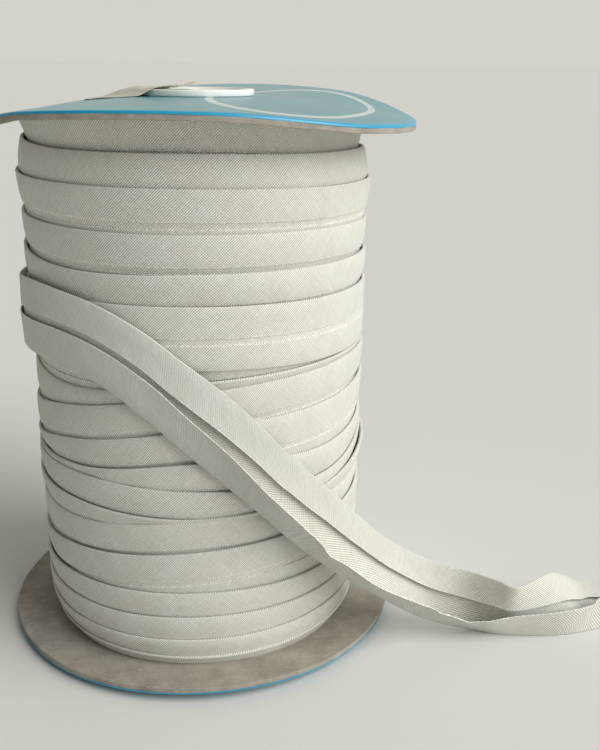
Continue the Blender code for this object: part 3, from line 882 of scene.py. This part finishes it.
def folded_ring(section, forward, place):
    """The ring of the folded cloth at one section, outer face first, with places on the cloth."""
    span = section.top - section.crease
    up = span.normalized()
    out = forward.cross(up).normalized()
    width = span.length
    # The weave follows the slant only until the end comes to lie down, where its sections fan out
    running = forward.normalized().dot(up) * smooth_step(*FAN_OUT, section.top.x)
    square = math.sqrt(1.0 - running * running)
    line = folded_centre(width, (width / TAPE_WIDTH + 1.0 / square) / 2.0, section.opening)
    centre = [
        (below, off + section.bow * math.sin(math.pi * min(1.0, below / width))) for below, off in line
    ]
    across = [0.0]
    for a, b in zip(line, line[1:]):
        across.append(across[-1] + math.hypot(b[0] - a[0], b[1] - a[1]))
    outer, inner = [], []
    for i, (below, off) in enumerate(centre):
        before = centre[max(i - 1, 0)]
        after = centre[min(i + 1, len(centre) - 1)]
        run = (after[0] - before[0], after[1] - before[1])
        length = math.hypot(*run)
        normal = (run[1] / length, -run[0] / length)
        for side, points in ((1.0, outer), (-1.0, inner)):
            b = below + side * normal[0] * PLY / 2.0
            o = off + side * normal[1] * PLY / 2.0
            point = section.top - up * b + out * o
            point.z = max(point.z, TABLE_CLEAR)
            points.append(point)
    ring = outer + inner[::-1]
    # Places on the cloth keep their square grid though the section runs at a slant
    on_cloth = [(place - a * running, a * square) for a in across]
    cloth = on_cloth + on_cloth[::-1] + on_cloth[:1]
    near_raw = [1.0, 0.0] + [0.0] * (len(centre) - 4) + [0.0, 1.0]
    return ring, cloth, near_raw + near_raw[::-1]


def make_loose_end(material):
    sections = loose_sections()
    rows, cloth, raw = [], [], []
    place = CLOTH_START
    for i, section in enumerate(sections):
        ahead = sections[min(i + 1, len(sections) - 1)]
        behind = sections[max(i - 1, 0)]
        forward = (ahead.top + ahead.crease) - (behind.top + behind.crease)
        if i:
            before = sections[i - 1]
            place += ((section.top + section.crease) - (before.top + before.crease)).length / 2.0
        ring, on_cloth, at_raw = folded_ring(section, forward, place)
        rows.append(ring)
        cloth.append(on_cloth)
        raw.append(at_raw)
    return lofted("loose_end", rows, material, closed=True, cloth=cloth, raw=raw)


# Discs, caps and label


def board_profile(level, paper_above):
    """A die-cut board's edge: rolled over on the paper's side, a little furred on the other."""
    low, high = level, level + BOARD_THICKNESS
    soft, roll = 0.15 * MM, 0.5 * MM
    radii = [0.0] + [DISC_RADIUS * share for share in (0.15, 0.3, 0.45, 0.6, 0.7, 0.8, 0.88, 0.95)]
    under = [(r, low) for r in radii] + [(DISC_RADIUS - soft, low)]
    over = [(DISC_RADIUS - soft, high)] + [(r, high) for r in reversed(radii)]
    if paper_above:
        edge = [(DISC_RADIUS, low + soft), (DISC_RADIUS, (low + high) / 2.0), (DISC_RADIUS, high - roll)]
        edge += [(DISC_RADIUS - roll * 0.3, high - roll * 0.3)]
        over[0] = (DISC_RADIUS - roll, high)
    else:
        under[-1] = (DISC_RADIUS - roll, low)
        edge = [(DISC_RADIUS - roll * 0.3, low + roll * 0.3), (DISC_RADIUS, low + roll)]
        edge += [(DISC_RADIUS, (low + high) / 2.0), (DISC_RADIUS, high - soft)]
    return under + edge + over


def paper_profile(face, side):
    """The printed paper on the board's outer face, its rim drawn down over the rolled edge."""
    thick = PAPER_THICKNESS
    roll = 0.55 * MM
    radii = [0.0] + [DISC_RADIUS * share for share in (0.15, 0.3, 0.45, 0.6, 0.7, 0.8, 0.88, 0.95)]
    out = [(r, face + side * thick) for r in radii]
    rim = DISC_RADIUS + 0.08 * MM
    out += [
        (rim - roll, face + side * thick),
        (rim - roll * 0.4, face + side * (thick - 0.10 * MM)),
        (rim - roll * 0.08, face + side * (thick - 0.34 * MM)),
        (rim, face - side * 0.43 * MM),
        (rim - 0.08 * MM, face - side * 0.45 * MM),
        (rim - roll, face + side * 0.03 * MM),
    ]
    back = [(r, face + side * 0.03 * MM) for r in reversed(radii)]
    return out + back


def cap_profile(level, top, recess):
    edge = 0.45 * MM
    inner = CAP_RADIUS - 2.2 * MM
    rows = [(0.0, level), (CAP_RADIUS * 0.5, level), (CAP_RADIUS - edge, level)]
    for turn in (30.0, 60.0, 90.0):
        a = math.radians(turn)
        rows.append((CAP_RADIUS - edge + edge * math.sin(a), level + edge - edge * math.cos(a)))
    for turn in (0.0, 30.0, 60.0, 90.0):
        a = math.radians(turn)
        rows.append((CAP_RADIUS - edge + edge * math.cos(a), top - edge + edge * math.sin(a)))
    rows += [
        (inner + 0.25 * MM, top),
        (inner, top - 0.1 * MM),
        (inner - 0.3 * MM, top - recess),
        (inner * 0.6, top - recess),
        (inner * 0.58, top - recess - 0.12 * MM),
        (inner * 0.5, top - recess - 0.12 * MM),
        (0.0, top - recess - 0.12 * MM),
    ]
    return rows


LABEL_LEFT, LABEL_RIGHT = -31.5 * MM, -2.0 * MM
LABEL_FRONT, LABEL_BACK = -13.6 * MM, 12.5 * MM
# It climbs to the cap from these distances outside the cap's edge, at its front and at its back
CLIMB_FRONT, CLIMB_BACK = 4.2 * MM, 12.0 * MM
LABEL_GLUE = 0.12 * MM


def label_point(u, v):
    """A point of the label: u from its left to its torn right end, v from its front edge to its back. Its
    left front corner is rounded off, its front edge lifts off the cap and hooks up at the torn end, which
    slants backwards and curls."""
    x = LABEL_LEFT + (LABEL_RIGHT - LABEL_LEFT) * u
    y = LABEL_FRONT + (LABEL_BACK - LABEL_FRONT) * v
    tear = 6.5 * (v - 0.45) + 0.55 * ripple(v * 9.0, 1.0) + 0.25 * ripple(v * 31.0, 4.0)
    x += MM * u**3 * tear + 0.5 * MM * (1.0 - u) * ripple(v * 5.0, 2.0)
    corner = smooth_step(0.32, 0.0, u) * smooth_step(0.35, 0.0, v)
    y += 4.2 * MM * corner + 0.2 * MM * (1.0 - v) * ripple(u * 9.0, 3.0)
    x += 2.4 * MM * corner
    on_paper = PAPER_TOP + disc_rise(UPPER_DISC, x, y)
    outside = CLIMB_FRONT + (CLIMB_BACK - CLIMB_FRONT) * smooth_step(0.0, 0.8, v)
    share = smooth_step(CAP_RADIUS + outside, CAP_RADIUS - 1.0 * MM, math.hypot(x, y))
    z = on_paper + (UPPER_CAP_TOP - on_paper) * share + LABEL_GLUE
    front = smooth_step(0.22, 0.0, v)
    z += 0.75 * MM * front * smooth_step(0.55, 0.95, u)
    z += 0.12 * MM * ripple(u * 11.0 + v * 6.0, 5.0) * share
    curl = smooth_step(0.74, 1.0, u) ** 2
    z += (0.2 + 1.25 * v) * MM * curl * (0.85 + 0.15 * ripple(v * 12.0, 6.0))
    return Vector((x, y, z))


def make_label(material):
    across, deep = 60, 40
    thick = Vector((0.0, 0.0, 0.18 * MM))
    rows = []
    for i in range(across + 1):
        upper = [label_point(i / across, j / deep) + thick for j in range(deep + 1)]
        lower = [label_point(i / across, j / deep) for j in range(deep + 1)]
        rows.append(upper + lower[::-1])
    return lofted("torn_label", rows, material, closed=True)


# Table, light and camera


# The room's walls: a dark side to the left, paler at the table's level, and a bright one to the right and
# behind the spool
ROOM_LOW = "#a9a7a0"
ROOM_DARK = "#2e2b1f"
ROOM_BRIGHT = "#e9e7df"
ROOM_LIGHT = 0.81
WINDOW_LIGHT = 2.75
WINDOW_SPREAD = 50.0
WINDOW_AZIMUTH = 58.0
WINDOW_ELEVATION = 36.0
WINDOW_COLOUR = "#ffffff"


def floor_material():
    """A pale, matt-lacquered table top: no mirror image, but a broad sheen that goes nearly white when it
    is seen at a low angle towards the window."""
    material, tree, shader = new_material("pale_lacquer")
    shader.inputs["Base Color"].default_value = linear("#dad9d5")
    shader.inputs["Roughness"].default_value = 0.6
    shader.inputs["Specular IOR Level"].default_value = 0.25
    return material


FLOOR_HALF = 60.0


def make_surroundings():
    """The table top, and a room that lights it softly."""
    half = FLOOR_HALF
    corners = [(-half, -half, 0.0), (half, -half, 0.0), (half, half, 0.0), (-half, half, 0.0)]
    floor = mesh_piece("floor", corners, [(0, 1, 2, 3)], floor_material())
    world = bpy.data.worlds.new("room")
    bpy.context.scene.world = world
    world.use_nodes = True
    background = world.node_tree.nodes["Background"]
    tree = world.node_tree
    way = add_node(tree, "TexCoord")
    axes = add_node(tree, "SeparateXYZ", {0: way.outputs["Generated"]})
    # The bright share grows to the right, and straight behind the spool
    side = add_node(tree, "MapRange", {0: axes.outputs["X"], 1: -0.75, 2: 0.55, 3: 0.0, 4: 1.0})
    behind = add_node(tree, "MapRange", {0: axes.outputs["Y"], 1: 0.45, 2: 0.9, 3: 0.0, 4: 1.0})
    bright = add_node(tree, "Math", {0: side.outputs[0], 1: behind.outputs[0]}, operation="MAXIMUM")
    # The dark side is paler at the level of the table
    above = add_node(tree, "MapRange", {0: axes.outputs["Z"], 1: 0.1, 2: 0.5, 3: 0.0, 4: 1.0})
    dark = add_node(
        tree,
        "Mix",
        {0: above.outputs[0], 6: linear(ROOM_LOW), 7: linear(ROOM_DARK)},
        data_type="RGBA",
    )
    walls = add_node(
        tree,
        "Mix",
        {0: bright.outputs[0], 6: dark.outputs[2], 7: linear(ROOM_BRIGHT)},
        data_type="RGBA",
    )
    tree.links.new(walls.outputs[2], background.inputs["Color"])
    background.inputs["Strength"].default_value = ROOM_LIGHT


def add_window():
    """Daylight from a wide window to the right and in front."""
    lamp = bpy.data.lights.new("window", "SUN")
    lamp.energy = WINDOW_LIGHT
    lamp.angle = math.radians(WINDOW_SPREAD)
    lamp.color = linear(WINDOW_COLOUR)[:3]
    window = bpy.data.objects.new("window", lamp)
    azimuth, elevation = math.radians(WINDOW_AZIMUTH), math.radians(WINDOW_ELEVATION)
    towards = polar(math.cos(elevation), azimuth, math.sin(elevation))
    window.rotation_euler = (-towards).to_track_quat("-Z", "Y").to_euler()
    bpy.context.scene.collection.objects.link(window)


CAMERA_PLACE = Vector((0.0, -0.29143, 0.17447))
CAMERA_FORWARD = Vector((0.10426, 0.94353, -0.31445))
CAMERA_RIGHT = Vector((0.99431, -0.10589, 0.01196))
CAMERA_LENS = 45.389


def add_camera():
    lens = bpy.data.cameras.new("camera")
    lens.lens = CAMERA_LENS
    lens.sensor_width = 36.0
    lens.clip_start = 0.01
    camera = bpy.data.objects.new("camera", lens)
    forward = CAMERA_FORWARD.normalized()
    right = (CAMERA_RIGHT - forward * CAMERA_RIGHT.dot(forward)).normalized()
    up = right.cross(forward)
    turn = Matrix((right, up, -forward)).transposed()
    camera.matrix_world = Matrix.Translation(CAMERA_PLACE) @ turn.to_4x4()
    bpy.context.scene.collection.objects.link(camera)
    bpy.context.scene.camera = camera


# The whole


Turned = namedtuple("Turned", "name profile material disc node slot")
PAPER_SLOT = "printed_paper"
RIM_WANDER = 0.12 * MM
UPPER_RECESS = 0.55 * MM


def main():
    cotton = woven_cotton()
    board = raw_greyboard()
    paper = coated_paper()
    plastic = moulded_plastic()
    torn = torn_paper()

    wound, wound_under = make_wound_tape(cotton)
    for piece in (wound, wound_under):
        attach(piece, "root")
        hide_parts("tape_roll")

    loose = make_loose_end(cotton)
    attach(loose, "root")
    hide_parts("loose_tape")

    upper_face = UPPER_HUB_LEVEL + BOARD_THICKNESS
    upper_cap = cap_profile(PAPER_TOP, UPPER_CAP_TOP, UPPER_RECESS)
    lower_cap = cap_profile(0.0, LOWER_CAP_TOP, 0.0)
    over = paper_profile(upper_face, 1.0)
    under = paper_profile(LOWER_BOARD_Z, -1.0)
    upper_board = board_profile(UPPER_HUB_LEVEL, True)
    lower_board = board_profile(LOWER_BOARD_Z, False)
    turned = (
        Turned("upper_board", upper_board, board, UPPER_DISC, "top_board", "board"),
        Turned("lower_board", lower_board, board, LOWER_DISC, "bottom_board", "board"),
        Turned("upper_paper", over, paper, UPPER_DISC, "top_paper", PAPER_SLOT),
        Turned("lower_paper", under, paper, LOWER_DISC, "bottom_paper", PAPER_SLOT),
        Turned("upper_cap", upper_cap, plastic, None, "top_cap", "cap"),
        Turned("lower_cap", lower_cap, plastic, None, "bottom_cap", "cap"),
    )
    for number, row in enumerate(turned):
        wander = RIM_WANDER if row.material is board else 0.0
        piece = spun(row.name, row.profile, row.material, row.disc, wander=wander, seed=number)
        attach(piece, "root")
        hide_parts(row.node)

    label = make_label(torn)
    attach(label, "root")
    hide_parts("hub_label")

    make_surroundings()
    add_window()
    add_camera()
    bpy.context.scene.view_settings.view_transform = "Standard"


main()
